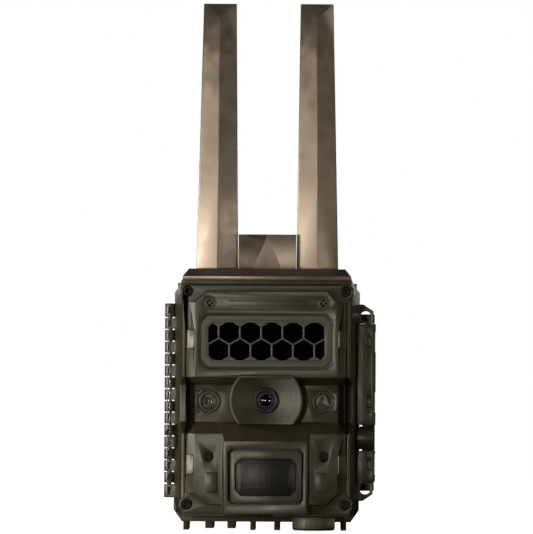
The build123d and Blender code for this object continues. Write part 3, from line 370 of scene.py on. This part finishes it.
def paint(piece, material):
    piece.data.materials.clear()
    piece.data.materials.append(material)
    for face in piece.data.polygons:
        face.material_index = 0


for name, item in nodes.items():
    material = special.get(name) or finishOf[name][0]
    paint(item, material)
print("materials are on")


weld = 0.005  # millimetres within which two vertices of a CAD mesh are one

# Shells with softened edges
softEdges = {  # edge radius in millimetres, and the steps round it
    "front_cover": (0.22, 2), "front_housing": (0.25, 2), "rear_housing": (0.15, 2), "latch": (0.35, 2),
    "lens_hood": (0.14, 2), "pir_frame": (0.3, 2), "ir_grille": (0.12, 1), "port_plug": (0.3, 2),
    "top_cap": (0.3, 2), "antenna_left": (0.4, 3), "antenna_right": (0.4, 3), "antenna_bridge": (0.3, 2),
    "lock_tube": (0.25, 2), "name_bar": (0.15, 2), "inner_panel": (0.25, 2), "battery_tray": (0.2, 1),
    "cover_screws": (0.15, 2), "pir_lens": (0.15, 2), "lens_ring": (0.1, 2), "sound_grilles": (0.12, 2),
    "hinge_pin": (0.25, 2), "latch_pin": (0.3, 2), "power_switch": (0.2, 2), "menu_button": (0.35, 3),
    "down_button": (0.35, 3), "up_button": (0.35, 3), "ok_button": (0.35, 3), "tripod_insert": (0.3, 2),
    "memory_card": (0.2, 2), "sim_card": (0.1, 2), "shield_can": (0.3, 2), "cellular_module": (0.3, 2),
}


def deselectAll():
    if bpy.context.object and bpy.context.object.mode != "OBJECT":
        bpy.ops.object.mode_set(mode="OBJECT")
    bpy.ops.object.select_all(action="DESELECT")


def makeActive(piece):
    deselectAll()
    piece.select_set(True)
    bpy.context.view_layer.objects.active = piece


def applyModifiers(piece):
    makeActive(piece)
    for modifier in list(piece.modifiers):
        bpy.ops.object.modifier_apply(modifier=modifier.name)


def softenedCopy(name, radius, steps):
    piece = bpy.data.objects.new(name + "_shell", nodes[name].data.copy())
    bpy.context.scene.collection.objects.link(piece)
    makeActive(piece)
    bpy.ops.object.mode_set(mode="EDIT")
    bpy.ops.mesh.select_all(action="SELECT")
    bpy.ops.mesh.remove_doubles(threshold=weld * mm)
    bpy.ops.mesh.dissolve_limited(angle_limit=radians(0.5))
    bpy.ops.object.mode_set(mode="OBJECT")
    bevel = piece.modifiers.new("softEdge", "BEVEL")
    bevel.width = radius * mm
    bevel.segments = steps
    bevel.limit_method = "ANGLE"
    bevel.angle_limit = radians(28)
    bevel.use_clamp_overlap = False
    applyModifiers(piece)
    bpy.ops.object.shade_smooth_by_angle(angle=radians(30))
    standFor(piece, name)
    return piece


def standFor(piece, name):
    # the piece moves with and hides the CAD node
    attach(piece, bodyOf[name])
    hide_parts(name)


for name, (radius, steps) in softEdges.items():
    softenedCopy(name, radius, steps)
print("edges are softened")


# Where each separate solid of a node lies
endBand = 0.05  # millimetres from an end that still count as that end


def islandBoxes(name):
    # each loose solid's lowest and highest corners, and its widest radius at each end
    work = bpy.data.objects.new("sorting", nodes[name].data.copy())
    bpy.context.scene.collection.objects.link(work)
    makeActive(work)
    bpy.ops.object.mode_set(mode="EDIT")
    bpy.ops.mesh.select_all(action="SELECT")
    bpy.ops.mesh.remove_doubles(threshold=weld * mm)
    bpy.ops.mesh.separate(type="LOOSE")
    bpy.ops.object.mode_set(mode="OBJECT")
    found = []
    for part in list(bpy.context.selected_objects):
        points = [vertex.co.copy() for vertex in part.data.vertices]
        low = Vector([min(point[axis] for point in points) for axis in range(3)])
        high = Vector([max(point[axis] for point in points) for axis in range(3)])
        middle = (low + high) / 2
        reach = {"low": 0.0, "high": 0.0}
        for point in points:
            for end, corner in (("low", low), ("high", high)):
                if abs(point.z - corner.z) < endBand * mm:
                    reach[end] = max(reach[end], (point.xy - middle.xy).length)
        found.append((low, high, reach))
        bpy.data.objects.remove(part)
    return sorted(found, key=lambda item: (round(item[0].z, 4), round(item[0].x, 4)))


def joinPieces(pieces, name):
    deselectAll()
    for piece in pieces:
        piece.select_set(True)
    bpy.context.view_layer.objects.active = pieces[0]
    bpy.ops.object.join()
    joined = bpy.context.object
    joined.name = name
    return joined


def settle(piece):
    # the piece's place goes into its mesh, and its object to the origin
    makeActive(piece)
    bpy.ops.object.transform_apply(location=True, rotation=True, scale=True)


def selectFaces(piece, wanted):
    # edit mode with only the faces that the test wants selected
    makeActive(piece)
    bpy.ops.object.mode_set(mode="EDIT")
    bpy.ops.mesh.select_mode(type="FACE")
    bpy.ops.mesh.select_all(action="DESELECT")
    bpy.ops.object.mode_set(mode="OBJECT")
    for face in piece.data.polygons:
        face.select = wanted(face)
    bpy.ops.object.mode_set(mode="EDIT")


def bevelSharp(piece, radius, steps):
    bevel = piece.modifiers.new("softEdge", "BEVEL")
    bevel.width, bevel.segments = radius * mm, steps
    bevel.limit_method, bevel.angle_limit = "ANGLE", radians(40)
    applyModifiers(piece)
    bpy.ops.object.shade_smooth_by_angle(angle=radians(35))


# Dry cells: a sleeve with a copper band at the plus end, a crimped rim and a raised cap
cell = {"capRadius": 2.6, "capRise": 1.0, "rimIn": 1.1, "rimDeep": 0.35, "bandLength": 12.0, "edge": 0.4}


def makeCell(low, high, reach):
    flipped = reach["low"] < reach["high"]
    radius = max(reach.values())
    length = high.z - low.z - cell["capRise"] * mm
    bpy.ops.mesh.primitive_cylinder_add(vertices=40, radius=radius, depth=length, location=(0, 0, length / 2))
    body = bpy.context.object
    settle(body)
    selectFaces(body, lambda face: face.normal.z > 0.9)
    bpy.ops.mesh.inset(thickness=cell["rimIn"] * mm)
    bpy.ops.mesh.extrude_region_move(TRANSFORM_OT_translate={"value": (0, 0, -cell["rimDeep"] * mm)})
    bpy.ops.mesh.inset(thickness=radius - (cell["rimIn"] + cell["capRadius"]) * mm)
    bpy.ops.mesh.extrude_region_move(
        TRANSFORM_OT_translate={"value": (0, 0, (cell["rimDeep"] + cell["capRise"]) * mm)})
    selectFaces(body, lambda face: face.normal.z < -0.9)
    bpy.ops.mesh.inset(thickness=cell["rimIn"] * mm)
    bpy.ops.mesh.extrude_region_move(TRANSFORM_OT_translate={"value": (0, 0, cell["rimDeep"] * mm)})
    bpy.ops.mesh.select_all(action="SELECT")
    bpy.ops.mesh.bisect(plane_co=(0, 0, length - cell["bandLength"] * mm), plane_no=(0, 0, 1))
    bpy.ops.object.mode_set(mode="OBJECT")
    bevelSharp(body, cell["edge"], 2)
    for material in (cellSleeve, copperSleeve, springWire):
        body.data.materials.append(material)
    rim = radius - cell["rimIn"] * mm
    for face in body.data.polygons:
        off = Vector(face.center.xy).length
        banded = face.center.z > length - cell["bandLength"] * mm
        face.material_index = 2 if off < rim * 0.99 else int(banded)
    if flipped:
        body.rotation_euler = (pi, 0, 0)
    body.location = ((low.x + high.x) / 2, (low.y + high.y) / 2, high.z if flipped else low.z)
    settle(body)
    return body


cells = joinPieces([makeCell(*place) for place in islandBoxes("battery_cells")], "dry_cells")
standFor(cells, "battery_cells")
print("cells are made")

# Contact springs: wire wound in a cone, its wide turn on the contact plate
coil = {"wire": 0.32, "turns": 4, "steps": 18, "wireSides": 8, "narrow": 0.62}


def makeSpring(low, high, reach):
    wideLow = reach["low"] > reach["high"]
    wide = max(reach.values()) - coil["wire"] * mm
    height = high.z - low.z
    bpy.ops.mesh.primitive_circle_add(vertices=coil["wireSides"], radius=coil["wire"] * mm,
                                      location=(wide, 0, coil["wire"] * mm), rotation=(pi / 2, 0, 0))
    wire = bpy.context.object
    settle(wire)
    turned = wire.modifiers.new("winding", "SCREW")
    turned.axis, turned.angle = "Z", 2 * pi
    turned.screw_offset = (height - 2 * coil["wire"] * mm) / coil["turns"]
    turned.iterations, turned.steps, turned.render_steps = coil["turns"], coil["steps"], coil["steps"]
    applyModifiers(wire)
    bpy.ops.object.mode_set(mode="EDIT")
    bpy.ops.mesh.select_mode(type="EDGE")
    bpy.ops.mesh.select_all(action="SELECT")
    bpy.ops.mesh.remove_doubles(threshold=0.001 * mm)
    bpy.ops.mesh.select_all(action="DESELECT")
    bpy.ops.mesh.select_non_manifold()
    bpy.ops.mesh.fill()
    bpy.ops.mesh.select_all(action="SELECT")
    bpy.ops.mesh.normals_make_consistent(inside=False)
    bpy.ops.object.mode_set(mode="OBJECT")
    for vertex in wire.data.vertices:  # drawn in towards the narrow end
        share = 1 - (1 - coil["narrow"]) * vertex.co.z / height
        vertex.co.x *= share
        vertex.co.y *= share
    if not wideLow:
        wire.rotation_euler = (pi, 0, 0)
    wire.location = ((low.x + high.x) / 2, (low.y + high.y) / 2, low.z if wideLow else high.z)
    settle(wire)
    bpy.ops.object.shade_smooth_by_angle(angle=radians(60))
    return wire


springs = joinPieces([makeSpring(*place) for place in islandBoxes("battery_springs")], "contact_springs")
springs.data.materials.append(springWire)
standFor(springs, "battery_springs")
print("springs are wound")

# Raised marks on the buttons: arrows, a ring and bars
mark = {"rise": 0.25, "reach": 1.7, "edge": 0.08, "ring": 1.25, "barPitch": 0.9, "barLength": 3.06,
        "barThick": 0.45}


def buttonMark(name, kind):
    low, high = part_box(name)
    middle = (low + high) / 2
    place = (middle.x, high.y, middle.z)
    depth = 2 * mark["rise"] * mm
    if kind == "bars":
        bars = []
        for row in (-1, 0, 1):
            height = middle.z + row * mark["barPitch"] * mm
            bpy.ops.mesh.primitive_cube_add(size=1, location=(middle.x, high.y, height))
            bar = bpy.context.object
            bar.scale = (mark["barLength"] * mm, depth, mark["barThick"] * mm)
            settle(bar)
            bars.append(bar)
        piece = joinPieces(bars, name + "_mark")
    elif kind == "ring":
        bpy.ops.mesh.primitive_torus_add(major_segments=32, minor_segments=8, major_radius=mark["ring"] * mm,
                                         minor_radius=mark["rise"] * mm, location=place,
                                         rotation=(pi / 2, 0, 0))
        piece = bpy.context.object
        settle(piece)
    else:
        turn = pi if kind == "down" else 0
        bpy.ops.mesh.primitive_cylinder_add(vertices=3, radius=mark["reach"] * mm, depth=depth,
                                            location=place, rotation=(-pi / 2, turn, 0))
        piece = bpy.context.object
        settle(piece)
    piece.name = name + "_mark"
    if kind != "ring":
        bevelSharp(piece, mark["edge"], 2)
    piece.data.materials.append(markPaint)
    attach(piece, bodyOf[name])


# pad-printed white ink: flat and bright
markPaint = surface("white pad printed ink", {
    "shader": {"IOR": 1.5}, "dark": "#c9c9c6", "light": "#d8d8d5", "rough": (0.45, 0.55), "patch": 3.0,
    "grain": 0.4, "depth": 0.01})
marks = {"menu_button": "bars", "down_button": "down", "up_button": "up", "ok_button": "ring"}
for name, kind in marks.items():
    buttonMark(name, kind)
print("buttons are marked")
